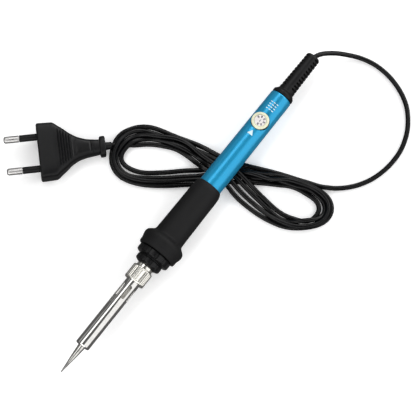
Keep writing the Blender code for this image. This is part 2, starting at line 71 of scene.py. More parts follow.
TAIL_ROUTE = [
    (-115.5, 0.2, 12.9),
    (-118.6, 1.3, 12.2),
    (-122.0, 3.4, 10.6),
    (-125.4, 6.2, 8.4),
    (-128.4, 9.2, 6.3),
    (-132.0, 14.0, 3.8),
    (-135.0, 19.5, 2.2),
    (-136.9, 26.0, 1.6),
    (-137.4, 33.0, 1.5),
    (-136.3, 41.5, 1.5),
    (-133.2, 50.5, 1.5),
    (-128.4, 58.3, 1.5),
    (-122.0, 64.2, 1.5),
    (-114.9, 68.5, 1.5),
    (-106.4, 71.3, 1.5),
    (-98.5, 72.1, 1.5),
    (-90.0, 71.4, 1.5),
    (-81.3, 69.0, 1.5),
    (-74.4, 65.5, 1.5),
    (-68.7, 61.2, 1.5),
    (-63.7, 55.8, 1.5),
    (-61.2, 51.9, 1.5),
]

# The winding is a figure of eight of four turns, which crosses itself under the handle. A section of it
# says for each strand how far left of the middle line it lies, as a share of half the winding's width,
# and its height. Strands 1 to 4 are the turns, and strand 5 is the plug's lead, in the near arm only.
# The cord's tail lies beside the far arm, on its own route, TAIL_ARM.
LOW, NESTED, STEPPED, PILED, TOP = 1.4, 3.6, 4.15, 4.2, 6.55
SECTIONS = {
    "handle_over": {1: (-1.0, PILED), 2: (-0.33, PILED), 3: (0.33, PILED), 4: (1.0, PILED)},
    "handle_under": {1: (-1.0, LOW), 2: (-0.33, LOW), 3: (0.33, LOW), 4: (1.0, LOW)},
    "fan": {1: (-1.0, 2.4), 2: (-0.5, 3.4), 3: (0.0, 3.6), 4: (0.5, 3.4), 5: (1.0, 2.6)},
    "arm_wide": {1: (-1.0, LOW), 2: (-0.34, LOW), 3: (0.0, 4.0), 4: (0.34, LOW), 5: (1.0, LOW)},
    "arm_tight": {1: (-1.0, LOW), 2: (0.0, LOW), 3: (-0.5, NESTED), 4: (0.5, NESTED), 5: (1.0, LOW)},
    "pyramid": {1: (-1.0, LOW), 2: (-0.72, STEPPED), 3: (0.0, TOP), 4: (0.72, STEPPED)},
    "loop": {1: (-1.0, LOW), 2: (-0.45, NESTED), 3: (0.1, LOW), 4: (1.0, LOW)},
    "over_lead": {1: (-1.0, 3.4), 2: (-0.35, 4.2), 3: (0.3, 4.2), 4: (1.0, 3.2)},
    "lead_side": {1: (-1.0, 3.6), 2: (-0.3, 6.4), 3: (0.3, 4.2), 4: (1.0, 3.4)},
    "near_gap": {1: (-1.0, LOW), 2: (-0.6, NESTED), 3: (-0.19, LOW), 4: (1.0, LOW)},
    "near_back": {1: (-1.0, LOW), 2: (-0.44, NESTED), 3: (0.15, LOW), 4: (1.0, LOW)},
    "far_loop": {1: (-1.0, LOW), 2: (-0.1, LOW), 3: (0.45, NESTED), 4: (1.0, LOW)},
    "far_stack": {1: (-1.0, LOW), 2: (-0.9, STEPPED), 3: (0.9, STEPPED), 4: (1.0, LOW)},
    "far_flat": {1: (-1.0, LOW), 2: (-0.42, LOW), 3: (0.28, LOW), 4: (1.0, LOW)},
    "far_rise": {1: (-1.0, 2.6), 2: (-0.42, 2.6), 3: (0.28, 2.6), 4: (1.0, 2.6)},
}

# The middle line of one turn, from under the handle to the plug, back, and round the far loop:
# (x, y, width over all its strands, section).
OVER = (-31.9, 1.6, 12.0, "handle_over")
NEAR_ARM = [
    (-31.8, -8.6, 14.6, "fan"),
    (-31.5, -18.5, 12.7, "arm_wide"),
    (-30.4, -27.1, 10.3, "arm_tight"),
    (-28.2, -35.1, 9.7, "arm_tight"),
    (-25.5, -42.3, 11.6, "arm_wide"),
    (-22.1, -49.2, 13.2, "arm_wide"),
]
NEAR_LOOP = [
    (-18.1, -54.8, 10.4, "loop"),
    (-11.9, -57.2, 11.2, "over_lead"),
    (-6.0, -57.1, 8.2, "lead_side"),
    (-0.7, -55.3, 7.8, "loop"),
    (1.8, -52.0, 8.4, "loop"),
    (3.0, -47.6, 9.4, "near_gap"),
]
NEAR_BACK = [
    (2.3, -42.0, 9.7, "near_gap"),
    (-0.3, -35.3, 9.7, "near_back"),
    (-4.6, -29.2, 10.4, "near_back"),
    (-10.0, -22.5, 10.8, "near_back"),
    (-15.8, -16.3, 11.1, "near_back"),
    (-21.4, -9.5, 11.4, "near_back"),
]
UNDER = (-29.4, -1.8, 11.8, "handle_under")
FAR_ARM = [
    (-37.4, 7.0, 14.0, "arm_wide"),
    (-41.7, 15.3, 11.4, "arm_wide"),
    (-45.3, 22.6, 8.6, "arm_tight"),
    (-49.0, 30.0, 6.9, "pyramid"),
    (-52.5, 39.1, 7.2, "pyramid"),
]
FAR_LOOP = [
    (-53.9, 46.9, 7.6, "far_loop"),
    (-53.6, 53.4, 9.5, "far_loop"),
    (-50.6, 58.4, 9.7, "far_loop"),
    (-45.2, 59.8, 8.6, "far_loop"),
    (-39.3, 57.8, 6.2, "far_stack"),
    (-34.2, 52.5, 6.7, "far_stack"),
    (-30.8, 46.3, 8.5, "far_loop"),
    (-29.0, 38.3, 10.0, "far_loop"),
    (-28.7, 29.2, 12.0, "far_flat"),
    (-29.3, 20.2, 13.1, "far_flat"),
    (-30.2, 12.2, 13.6, "far_rise"),
]
TURN = NEAR_ARM + NEAR_LOOP + NEAR_BACK + [UNDER] + FAR_ARM + FAR_LOOP + [OVER]
TURNS = 4
LEAD_STRAND = 5

# From the end of the near arm, under the loop's strands, to the plug.
LEAD_ROUTE = [(-16.4, -47.9, 1.4), (-11.6, -53.5, 1.6), (-8.9, -57.0, 3.0)]

# The cord's tail on the outer side of the far arm, up to the handle.
TAIL_ARM = [
    (-58.9, 47.7, 1.4),
    (-56.4, 40.8, 1.4),
    (-53.9, 34.1, 1.4),
    (-51.5, 27.3, 1.4),
    (-48.6, 20.1, 1.4),
    (-45.5, 13.0, 1.4),
    (-42.5, 6.0, 1.4),
    (-39.9, -1.4, 1.4),
]

POINT_STEP = 2.5

# The settling. At each step a strand goes the share SPRING of the way back to its route, sideways, and
# HEIGHT_SPRING of the way in height, then sinks by SINK_MM until CALM_AFTER of the steps are done. Past
# its fixed front the cord becomes free to move over FREED_OVER_POINTS points.
SETTLE_STEPS = 500
CALM_AFTER = 0.85
SPRING = 0.09
SINK_MM = 0.012
HEIGHT_SPRING = 0.04
BEND_STIFFNESS = 0.055
BEND_PASSES = 3
FREED_OVER_POINTS = 12.0
HANDLE_GAP = 0.1
GRIP_MARGIN = 1.0

# Strands less than a cord's diameter apart push each other away, and PUSH_GAIN is over 1 so that they
# part sooner. Pairs are looked for within SEARCH_REACH diameters. Two points push when they are level
# along the cord to within PUSH_LEVEL point steps, and those up to SAME_STRAND_POINTS apart never do.
SEARCH_REACH = 1.7
PUSH_LEVEL = 0.75
PUSH_GAIN = 1.3
SAME_STRAND_POINTS = 6


def smooth_points(route, step):
    """Points about a step apart on a Catmull-Rom curve through the route."""
    places = [Vector(point) for point in route]
    places = [2 * places[0] - places[1], *places, 2 * places[-1] - places[-2]]
    points = [places[1]]
    for a, b, c, d in zip(places, places[1:], places[2:], places[3:]):
        count = max(1, round((c - b).length / step))
        for index in range(1, count + 1):
            t = index / count
            points.append(
                0.5
                * (
                    2 * b
                    + (c - a) * t
                    + (2 * a - 5 * b + 4 * c - d) * t**2
                    + (3 * b - a - 3 * c + d) * t**3
                )
            )
    return points


def evenly(points, step):
    """The same line with points exactly a step apart, as an array."""
    line = np.array(points, float)
    lengths = np.linalg.norm(np.diff(line, axis=0), axis=1)
    at = np.concatenate([[0.0], np.cumsum(lengths)])
    count = max(2, round(at[-1] / step))
    wanted = np.linspace(0.0, at[-1], count + 1)
    return np.stack([np.interp(wanted, at, line[:, axis]) for axis in range(3)], axis=1)


def strand_point(index, strand):
    """Where a strand passes a station of the turn."""
    x, y, width, section = TURN[index]
    before = TURN[index - 1]
    after = TURN[(index + 1) % len(TURN)]
    run = Vector((after[0] - before[0], after[1] - before[1])).normalized()
    share, height = SECTIONS[section][strand]
    aside = share * (width - CORD_D) / 2
    return (x - run.y * aside, y + run.x * aside, height)


def winding_route():
    """The whole cord as it is wound, before its strands settle on each other."""
    route = list(TAIL_ROUTE)
    route += TAIL_ARM
    for turn in range(1, TURNS + 1):
        route += [strand_point(index, turn) for index in range(len(TURN))]
    route += [strand_point(index, LEAD_STRAND) for index in range(len(NEAR_ARM))]
    return route + LEAD_ROUTE


def keep_clear(points, lowest):
    """Keeps the cord above the table and outside the handle and the grip."""
    points[:, 2] = np.maximum(points[:, 2], lowest)
    beside_grip = points[:, 0] > GRIP_REAR_X - GRIP_MARGIN
    clearance = np.where(beside_grip, GRIP_REAR_R, HANDLE_R) + CORD_R + HANDLE_GAP
    across = points[:, 1]
    down = AXIS_Z - points[:, 2]
    distance = np.maximum(np.hypot(across, down), 1e-6)
    inside = (distance < clearance) & (np.abs(across) < clearance) & (points[:, 0] > HANDLE_REAR_X)
    room = np.sqrt(np.maximum(clearance**2 - across**2, 0.0))
    points[inside, 2] = np.maximum((AXIS_Z - room)[inside], CORD_R)


def push_apart(points, first):
    """Moves strands that lie in each other apart, square to the strands."""
    moving = points[first:]
    count = len(moving)
    tangent = np.gradient(moving, axis=0)
    tangent /= np.linalg.norm(tangent, axis=1)[:, None]
    gap = moving[:, None, :] - moving[None, :, :]
    near = (gap**2).sum(2) < (SEARCH_REACH * CORD_D) ** 2
    place = np.arange(count)
    near &= np.abs(place[:, None] - place[None, :]) > SAME_STRAND_POINTS
    i, j = np.nonzero(near)
    apart = gap[i, j]
    along = (apart * tangent[j]).sum(1)
    square = apart - along[:, None] * tangent[j]
    distance = np.maximum(np.linalg.norm(square, axis=1), 1e-6)
    close = (distance < CORD_D) & (np.abs(along) < PUSH_LEVEL * POINT_STEP)
    i, j = i[close], j[close]
    push = square[close] / distance[close][:, None] * (CORD_D - distance[close])[:, None] / 2
    move = np.zeros_like(moving)
    hits = np.zeros(count)
    for target, sign in ((i, 1.0), (j, -1.0)):
        np.add.at(move, target, sign * push)
        np.add.at(hits, target, 1.0)
    moving += move / np.maximum(hits, 1.0)[:, None] * PUSH_GAIN


def settle(design, steps, fixed_front, fixed_back):
    """Lets the wound cord sink on to the table and on to itself, and bend as stiffly as a cord does."""
    points = design.copy()
    free = np.ones(len(points))
    free[:fixed_front] = 0.0
    free[-fixed_back:] = 0.0
    free *= np.clip((np.arange(len(points)) - fixed_front) / FREED_OVER_POINTS, 0.0, 1.0)
    for step in range(steps):
        calm = step > CALM_AFTER * steps
        before = points.copy()
        points[:, :2] += SPRING * (design[:, :2] - points[:, :2])
        points[:, 2] += HEIGHT_SPRING * (design[:, 2] - points[:, 2])
        points[:, 2] -= 0.0 if calm else SINK_MM
        for _ in range(BEND_PASSES):
            bend = np.zeros_like(points)
            bend[2:-2] = (
                points[:-4] - 4 * points[1:-3] + 6 * points[2:-2] - 4 * points[3:-1] + points[4:]
            )
            points -= BEND_STIFFNESS * free[:, None] * bend
        push_apart(points, fixed_front)
        keep_clear(points, CORD_R)
        points = before + free[:, None] * (points - before)
    return points


def make_cord(look):
    """The cord in one piece, from the strain relief to the plug."""
    stub = plug_place(PLUG_END - 1.5)
    inside = plug_place(PLUG_END - 4.0)
    route = winding_route() + [tuple(plug_place(PLUG_END + 2.0)), tuple(stub), tuple(inside)]
    design = evenly(smooth_points(route, 1.0), POINT_STEP)
    tail = [Vector(point) for point in TAIL_ROUTE + TAIL_ARM]
    tail_length = sum((b - a).length for a, b in zip(tail, tail[1:]))
    steps = SETTLE_STEPS
    points = settle(design, steps, int(tail_length / POINT_STEP) - 5, 3)
    line = smooth_points([tuple(point) for point in points], POINT_STEP / 2)
    curve = bpy.data.curves.new("mains_cord", "CURVE")
    curve.dimensions = "3D"
    curve.bevel_depth = CORD_R * MM
    curve.bevel_resolution = 5
    curve.use_fill_caps = True
    spline = curve.splines.new("POLY")
    spline.points.add(len(line) - 1)
    for spot, point in zip(spline.points, line):
        spot.co = (*(point * MM), 1.0)
    spline.use_smooth = True
    curve.materials.append(look)
    made = bpy.data.objects.new("mains_cord", curve)
    bpy.context.scene.collection.objects.link(made)
    return made


# ---------------------------------------------------------------- plug's place

PLUG_FRONT = Vector((25.3, -90.3, 7.68))
PLUG_DIRECTION_DEG = 135.5
PLUG_TILT_DEG = 4.76
PLUG_END = 42.1


def plug_turn():
    turn = Matrix.Rotation(math.radians(PLUG_DIRECTION_DEG), 4, "Z")
    return turn @ Matrix.Rotation(math.radians(PLUG_TILT_DEG), 4, "Y")


def plug_bow(u):
    """How far the plug's neck is bent aside at a place along it."""
    return -0.5 * window(u, 24.0, 38.5, 14.0)


def plug_place(u):
    return PLUG_FRONT + plug_turn() @ Vector((u, plug_bow(u), 0.0))


# ---------------------------------------------------------------- shapes


def make_object(name, vertices, faces, look, sharp_deg=32.0):
    """A mesh piece from places in millimetres, smooth except at sharp edges."""
    mesh = bpy.data.meshes.new(name)
    mesh.from_pydata([Vector(place) * MM for place in vertices], [], faces)
    mesh.validate()
    bm = bmesh.new()
    bm.from_mesh(mesh)
    bmesh.ops.recalc_face_normals(bm, faces=bm.faces)
    bm.to_mesh(mesh)
    bm.free()
    mesh.polygons.foreach_set("use_smooth", [True] * len(mesh.polygons))
    mesh.set_sharp_from_angle(angle=math.radians(sharp_deg))
    mesh.materials.append(look)
    made = bpy.data.objects.new(name, mesh)
    bpy.context.scene.collection.objects.link(made)
    return made


def rounded(outline, radius, steps=4, closed=False):
    """The outline with each corner turned into a small curve."""
    places = [Vector(point) for point in outline]
    count = len(places)
    result = []
    for index, place in enumerate(places):
        if not closed and index in (0, count - 1):
            result.append(tuple(place))
            continue
        before, after = places[index - 1], places[(index + 1) % count]
        cut_in = min(radius, 0.4 * (place - before).length)
        cut_out = min(radius, 0.4 * (after - place).length)
        start = place + (before - place).normalized() * cut_in
        end = place + (after - place).normalized() * cut_out
        for step in range(steps + 1):
            t = step / steps
            result.append(tuple(start * (1 - t) ** 2 + place * 2 * t * (1 - t) + end * t**2))
    return result


def turned(name, outline, look, sides=96, closed=True, radius=None, at=None, sharp_deg=32.0):
    """A piece turned about the iron's axis. The outline holds (distance from the tip, radius) pairs,
    and radius(distance, radius, angle) may change a radius. at is another axis's matrix: the outline
    then holds (place along it, radius) pairs."""
    vertices, faces, rings = [], [], []
    for place, size in outline:
        if size < 1e-6:
            rings.append([len(vertices)])
            vertices.append((place, 0.0, 0.0))
            continue
        rings.append(list(range(len(vertices), len(vertices) + sides)))
        for side in range(sides):
            angle = math.tau * side / sides
            reach = radius(place, size, angle) if radius else size
            vertices.append((place, reach * math.sin(angle), reach * math.cos(angle)))
    pairs = list(zip(rings, rings[1:]))
    if closed:
        pairs.append((rings[-1], rings[0]))
    for near, far in pairs:
        if len(near) == 1 and len(far) == 1:
            continue
        for side in range(sides):
            after = (side + 1) % sides
            if len(near) == 1:
                faces.append((near[0], far[after], far[side]))
            elif len(far) == 1:
                faces.append((near[side], near[after], far[0]))
            else:
                faces.append((near[side], near[after], far[after], far[side]))
    if at is None:
        vertices = [(TIP_POINT - x, y, AXIS_Z + z) for x, y, z in vertices]
    else:
        vertices = [tuple(at @ Vector(place)) for place in vertices]
    return make_object(name, vertices, faces, look, sharp_deg)


def apply_modifier(piece, modifier):
    """Makes a modifier's result the piece's own mesh."""
    bpy.context.view_layer.update()
    evaluated = piece.evaluated_get(bpy.context.evaluated_depsgraph_get())
    mesh = bpy.data.meshes.new_from_object(evaluated)
    piece.modifiers.remove(modifier)
    piece.data = mesh


def carve(piece, vertices, faces, look, bevel_mm=0.0):
    """Cuts a closed shape out of a piece, and rounds the piece's sharp edges."""
    cutter = make_object("cutter", vertices, faces, look)
    modifier = piece.modifiers.new("carve", "BOOLEAN")
    modifier.operation = "DIFFERENCE"
    modifier.solver = "EXACT"
    modifier.object = cutter
    apply_modifier(piece, modifier)
    bpy.data.objects.remove(cutter)
    if bevel_mm:
        modifier = piece.modifiers.new("edge", "BEVEL")
        modifier.width = bevel_mm * MM
        modifier.segments = 3
        modifier.limit_method = "ANGLE"
        modifier.angle_limit = math.radians(50)
        modifier.use_clamp_overlap = True
        apply_modifier(piece, modifier)
    mesh = piece.data
    mesh.polygons.foreach_set("use_smooth", [True] * len(mesh.polygons))
    mesh.set_sharp_from_angle(angle=math.radians(32))


def circle(radius, sides):
    """Outline of a round hole."""
    turns = [math.tau * index / sides for index in range(sides)]
    return [(math.cos(turn) * radius, math.sin(turn) * radius) for turn in turns]


def prism(outline, low, high, matrix):
    """Vertices and faces of an outline in the (u, v) plane, drawn out from low to high along w."""
    count = len(outline)
    vertices = [matrix @ Vector((u, v, w)) for w in (low, high) for u, v in outline]
    faces = [tuple(reversed(range(count))), tuple(range(count, 2 * count))]
    for index in range(count):
        after = (index + 1) % count
        faces.append((index, after, count + after, count + index))
    return vertices, faces


def together(parts):
    """Several (vertices, faces) shapes as one."""
    vertices, faces = [], []
    for some, sides in parts:
        base = len(vertices)
        vertices += [tuple(place) for place in some]
        faces += [tuple(base + index for index in side) for side in sides]
    return vertices, faces


def stadium(length, width, segments=12):
    """Outline of a slot with round ends."""
    half, radius = (length - width) / 2, width / 2
    outline = []
    for side in (1, -1):
        for index in range(segments + 1):
            angle = math.pi * index / segments - math.pi / 2
            outline.append((side * (half + radius * math.cos(angle)), side * radius * math.sin(angle)))
    return outline


def between(value, low, high):
    """Rises smoothly from 0 at low to 1 at high."""
    t = min(1.0, max(0.0, (value - low) / (high - low)))
    return t * t * (3 - 2 * t)


def window(value, start, end, edge):
    """1 from start to end, and 0 outside, with soft edges."""
    half = edge / 2
    return between(value, start - half, start + half) * (1 - between(value, end - half, end + half))


# ---------------------------------------------------------------- materials


class Look:
    """A procedural material, with short calls for its nodes."""

    def __init__(self, name, color, roughness, metallic=0.0, specular=0.5):
        self.material = bpy.data.materials.new(name)
        self.material.use_nodes = True
        self.tree = self.material.node_tree
        self.shader = self.tree.nodes["Principled BSDF"]
        self.shader.inputs["Base Color"].default_value = (*color, 1.0)
        self.shader.inputs["Roughness"].default_value = roughness
        self.shader.inputs["Metallic"].default_value = metallic
        self.shader.inputs["Specular IOR Level"].default_value = specular
        self.place = self.node("ShaderNodeTexCoord").outputs["Object"]
        self.height = None

    def feed(self, socket, value):
        """Links another node's output to a socket, or sets the socket to a plain value."""
        if isinstance(value, bpy.types.NodeSocket):
            self.tree.links.new(value, socket)
        else:
            socket.default_value = value

    def node(self, kind, links=(), **values):
        made = self.tree.nodes.new(kind)
        for key, value in values.items():
            setattr(made, key, value)
        for key, value in links:
            self.feed(made.inputs[key], value)
        return made

    def stretched(self, factors):
        return self.node(
            "ShaderNodeMapping", [("Vector", self.place), ("Scale", factors)]
        ).outputs["Vector"]

    def noise(self, scale, detail=3.0, stretch=(1.0, 1.0, 1.0), roughness=0.6):
        links = [
            ("Vector", self.stretched(stretch)),
            ("Scale", scale),
            ("Detail", detail),
            ("Roughness", roughness),
        ]
        return self.node("ShaderNodeTexNoise", links).outputs["Fac"]

    def cells(self, scale):
        return self.node(
            "ShaderNodeTexVoronoi", [("Vector", self.place), ("Scale", scale)]
        ).outputs["Distance"]

    def spread(self, value, low, high, to_low=0.0, to_high=1.0):
        links = [
            ("Value", value),
            ("From Min", low),
            ("From Max", high),
            ("To Min", to_low),
            ("To Max", to_high),
        ]
        return self.node("ShaderNodeMapRange", links).outputs["Result"]

    def axis(self, name):
        return self.node("ShaderNodeSeparateXYZ", [("Vector", self.place)]).outputs[name]

    def math(self, operation, a, b=0.0):
        made = self.node("ShaderNodeMath", operation=operation)
        for index, value in enumerate((a, b)):
            self.feed(made.inputs[index], value)
        return made.outputs["Value"]

    def blend(self, factor, first, second):
        made = self.node("ShaderNodeMix", data_type="RGBA")
        self.feed(made.inputs[0], factor)
        for index, color in ((6, first), (7, second)):
            linked = isinstance(color, bpy.types.NodeSocket)
            self.feed(made.inputs[index], color if linked else (*color, 1.0))
        return made.outputs[2]

    def paint(self, color):
        self.tree.links.new(color, self.shader.inputs["Base Color"])

    def gloss(self, roughness):
        self.tree.links.new(roughness, self.shader.inputs["Roughness"])

    def bump(self, value, strength, distance_mm):
        links = [("Height", value), ("Strength", strength), ("Distance", distance_mm * MM)]
        if self.height is not None:
            links.append(("Normal", self.height))
        self.height = self.node("ShaderNodeBump", links).outputs["Normal"]
        self.tree.links.new(self.height, self.shader.inputs["Normal"])


def moulded(name, color, roughness, specular=0.5, grain_mm=0.35, bump=0.25, dust=0.06):
    """Moulded plastic or rubber: a fine grain, faint dust and slightly uneven gloss."""
    look = Look(name, color, roughness, specular=specular)
    grain = look.noise(1.0 / (grain_mm * MM), 2.0)
    cloud = look.noise(120.0, 4.0)
    pale = [min(1.0, channel + dust * (1.0 - channel)) for channel in color]
    dark = [channel * 0.8 for channel in color]
    tone = look.blend(look.spread(cloud, 0.35, 0.7), dark, color)
    look.paint(look.blend(look.spread(grain, 0.66, 0.9, 0.0, 0.5), tone, pale))
    look.gloss(look.spread(cloud, 0.3, 0.7, roughness - 0.06, roughness + 0.08))
    look.bump(grain, bump, 0.04)
    return look.material


def metal(name, color, roughness, stretch, scratch=0.25, tarnish=0.75):
    """Polished metal with fine scratches drawn out along one way, and faint tarnish."""
    look = Look(name, color, roughness, metallic=1.0)
    lines = look.noise(9000.0, 3.0, stretch)
    cloud = look.noise(260.0, 5.0)
    worn = [channel * tarnish for channel in color]
    look.paint(look.blend(look.spread(cloud, 0.42, 0.75), color, worn))
    look.gloss(look.spread(cloud, 0.3, 0.75, roughness * 0.8, roughness * 1.7))
    look.bump(lines, scratch, 0.004)
    return look.material


def make_looks():
    looks = {}
    looks["cord"] = moulded("cord_pvc", (0.0018, 0.0018, 0.0022), 0.26, 0.2, 0.5, 0.1, 0.006)
    looks["black_pvc"] = moulded("moulded_pvc", (0.0045, 0.0045, 0.005), 0.40, 0.22, 0.3, 0.25, 0.012)
    looks["silicone"] = moulded("silicone_rubber", (0.0062, 0.0062, 0.0066), 0.60, 0.2, 0.25, 0.35, 0.02)
    looks["bakelite"] = moulded("bakelite", (0.003, 0.003, 0.0035), 0.34, 0.26, 0.2, 0.15, 0.015)
    looks["stainless"] = metal("stainless_steel", (0.72, 0.71, 0.69), 0.09, (0.05, 1.0, 1.0), 0.05, 0.86)
    looks["nickel"] = metal("nickel_plate", (0.88, 0.86, 0.80), 0.2, (1.0, 0.3, 0.3), 0.08, 0.86)
    looks["pin_metal"] = metal("pin_metal", (0.62, 0.61, 0.60), 0.3, (0.3, 0.3, 1.0), 0.01, 0.9)
    looks["tip_plating"] = make_tip_look()
    looks["blue_shell"] = make_shell_look()
    looks["dial_cream"] = moulded("dial_cream", (0.80, 0.80, 0.58), 0.38, 0.4, 0.3, 0.12, 0.2)
    looks["dial_white"] = moulded("dial_white", (0.86, 0.82, 0.80), 0.42, 0.4, 0.3, 0.12, 0.3)
    looks["print_white"] = moulded("print_white", (0.70, 0.86, 0.92), 0.5, 0.3, 0.3, 0.1, 0.2)
    looks["print_dark"] = moulded("print_dark", (0.035, 0.03, 0.07), 0.5, 0.3, 0.3, 0.1, 0.05)
    looks["ceramic"] = moulded("ceramic", (0.80, 0.78, 0.72), 0.45, 0.5, 0.15, 0.3, 0.3)
    looks["board"] = make_board_look()
    looks["black_component"] = moulded("black_component", (0.02, 0.02, 0.02), 0.45, 0.4, 0.2)
    looks["tan_component"] = moulded("tan_component", (0.50, 0.34, 0.16), 0.4, 0.5, 0.2)
    looks["film"] = moulded("dipped_film", (0.30, 0.05, 0.02), 0.25, 0.5, 0.6)
    looks["brown_wire"] = moulded("brown_wire", (0.10, 0.035, 0.015), 0.35, 0.5, 0.4)
    looks["blue_wire"] = moulded("blue_wire", (0.02, 0.06, 0.28), 0.35, 0.5, 0.4)
    looks["white_nylon"] = moulded("white_nylon", (0.74, 0.74, 0.71), 0.4, 0.5, 0.4)
    return looks


def make_tip_look():
    """Plated cone, tinned and greyer at its point, with fine rings from turning."""
    look = Look("plated_copper", (0.66, 0.65, 0.62), 0.16, metallic=1.0)
    along = look.axis("X")
    tinned = look.spread(along, (TIP_POINT - 9.0) * MM, (TIP_POINT - 6.0) * MM)
    cloud = look.noise(500.0, 5.0)
    edge = look.math("ADD", tinned, look.spread(cloud, 0.4, 0.6, -0.15, 0.15))
    clean = look.blend(look.spread(cloud, 0.45, 0.75), (0.66, 0.65, 0.62), (0.47, 0.46, 0.44))
    look.paint(look.blend(edge, clean, (0.30, 0.295, 0.285)))
    look.gloss(look.spread(edge, 0.0, 1.0, 0.15, 0.36))
    look.bump(look.noise(7000.0, 2.0, (1.0, 0.15, 0.15)), 0.08, 0.004)
    look.bump(cloud, 0.06, 0.02)
    return look.material


def make_shell_look():
    """Pearly blue paint with fine flake, under a clear coat."""
    look = Look("pearl_blue", (0.004, 0.30, 0.57), 0.36, metallic=0.6)
    flake = look.cells(9000.0)
    cloud = look.noise(90.0, 3.0, (0.4, 1.0, 1.0))
    tone = look.blend(look.spread(cloud, 0.3, 0.7), (0.003, 0.28, 0.53), (0.006, 0.33, 0.61))
    look.paint(look.blend(look.spread(flake, 0.0, 0.9, 0.0, 0.15), tone, (0.10, 0.55, 0.84)))
    look.gloss(look.spread(cloud, 0.3, 0.7, 0.30, 0.38))
    look.bump(flake, 0.08, 0.01)
    look.shader.inputs["Coat Weight"].default_value = 0.25
    look.shader.inputs["Coat Roughness"].default_value = 0.12
    return look.material


def make_board_look():
    """Green lacquered board with a woven grain."""
    look = Look("green_board", (0.012, 0.10, 0.03), 0.35)
    weave = look.node(
        "ShaderNodeTexChecker", [("Vector", look.place), ("Scale", 1500.0)]
    ).outputs["Fac"]
    look.paint(look.blend(weave, (0.012, 0.10, 0.03), (0.016, 0.125, 0.04)))
    look.bump(weave, 0.2, 0.01)
    return look.material


# ---------------------------------------------------------------- iron


def place_piece(piece, body, slot, *nodes):
    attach(piece, body)
    if nodes:
        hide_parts(*nodes)
    return piece


def make_tip(looks):
    outline = [
        (0.0, 0.0),
        (0.06, 0.22),
        (0.5, 0.35),
        (5.5, 0.88),
        (10.9, 1.5),
        (17.8, 2.15),
        (19.6, 2.2),
        (19.7, 3.3),
        (20.0, 3.5),
        (22.9, 3.5),
        (23.4, 3.15),
        (43.2, 3.15),
        (43.2, 2.2),
        (27.2, 2.2),
        (26.2, 0.0),
    ]
    piece = turned("iron_tip", rounded(outline, 0.25), looks["tip_plating"], closed=False)
    place_piece(piece, "barrel", "tip_plating", "tip")


BARREL_FRONT, BARREL_REAR = 18.4, 67.4
BARREL_R, BARREL_BORE_R = 4.28, 3.75
SLOT_FRONT, SLOT_REAR, SLOT_WIDTH = 52.2, 61.0, 2.0
SLOT_TURN_DEG = 19.0


def make_barrel(looks):
    outline = [
        (BARREL_FRONT, 2.5),
        (BARREL_FRONT, 3.6),
        (BARREL_FRONT + 0.2, 4.0),
        (BARREL_FRONT + 0.7, BARREL_R),
        (BARREL_REAR - 1.4, BARREL_R),
        (BARREL_REAR - 1.4, 5.1),
        (BARREL_REAR, 5.1),
        (BARREL_REAR, BARREL_BORE_R),
        (BARREL_FRONT + 1.0, BARREL_BORE_R),
        (BARREL_FRONT + 1.0, 2.5),
    ]
    piece = turned("steel_barrel", rounded(outline, 0.15, closed=True), looks["stainless"])
    slot = stadium(SLOT_REAR - SLOT_FRONT, SLOT_WIDTH)
    middle = TIP_POINT - (SLOT_FRONT + SLOT_REAR) / 2
    parts = []
    for index in range(6):
        turn = Matrix.Rotation(math.radians(-SLOT_TURN_DEG - 60 * index), 4, "X")
        place = Matrix.Translation((middle, 0.0, AXIS_Z)) @ turn
        parts.append(prism(slot, 3.0, 5.4, place))
    carve(piece, *together(parts), looks["stainless"], 0.14)
    place_piece(piece, "barrel", "stainless", "barrel_tube")


NUT_FRONT, NUT_REAR, NUT_R = 64.0, 73.0, 6.2
NUT_FLUTES = 36


def make_nut(looks):
    outline = [
        (NUT_FRONT, 4.6),
        (NUT_FRONT, 5.9),
        (NUT_FRONT + 0.35, NUT_R),
        (NUT_FRONT + 1.2, NUT_R),
        (NUT_FRONT + 1.7, NUT_R),
        (NUT_FRONT + 4.5, NUT_R),
        (NUT_REAR - 1.7, NUT_R),
        (NUT_REAR - 1.2, NUT_R),
        (NUT_REAR - 0.45, NUT_R),
        (NUT_REAR, 5.85),
        (NUT_REAR, 5.45),
        (NUT_FRONT + 1.7, 5.45),
        (NUT_FRONT + 1.7, 4.6),
    ]

    def fluted(place, size, angle):
        if size < 5.9:
            return size
        inside = window(place, NUT_FRONT + 0.7, NUT_REAR - 0.7, 0.5)
        return size - 0.22 * inside * (0.5 - 0.5 * math.cos(angle * NUT_FLUTES)) ** 0.7

    outline = rounded(outline, 0.16, 3, True)
    piece = turned("union_nut", outline, looks["nickel"], 288, radius=fluted, sharp_deg=40)
    place_piece(piece, "nut", "nickel", "barrel_nut")


def make_spigot(looks):
    front = BARREL_REAR + 0.3
    outline = [(front, 3.9), (front, 4.7)]
    crest = front + 0.5
    while crest < NUT_REAR - 0.6:
        outline += [(crest, 5.1), (crest + 0.6, 4.75)]
        crest += 1.2
    outline += [(73.3, 4.75), (73.3, 4.95), (74.9, 4.95), (74.9, 4.7), (89.2, 4.7), (89.2, 3.9)]
    piece = turned("threaded_neck", rounded(outline, 0.12, 2, True), looks["nickel"])
    place_piece(piece, "handle", "nickel", "threaded_spigot")


COLLAR_NOTCHES = 12
COLLAR_RINGS = ((75.9, 79.3, 7.5, 0.55), (80.5, 84.1, 9.0, 0.75))


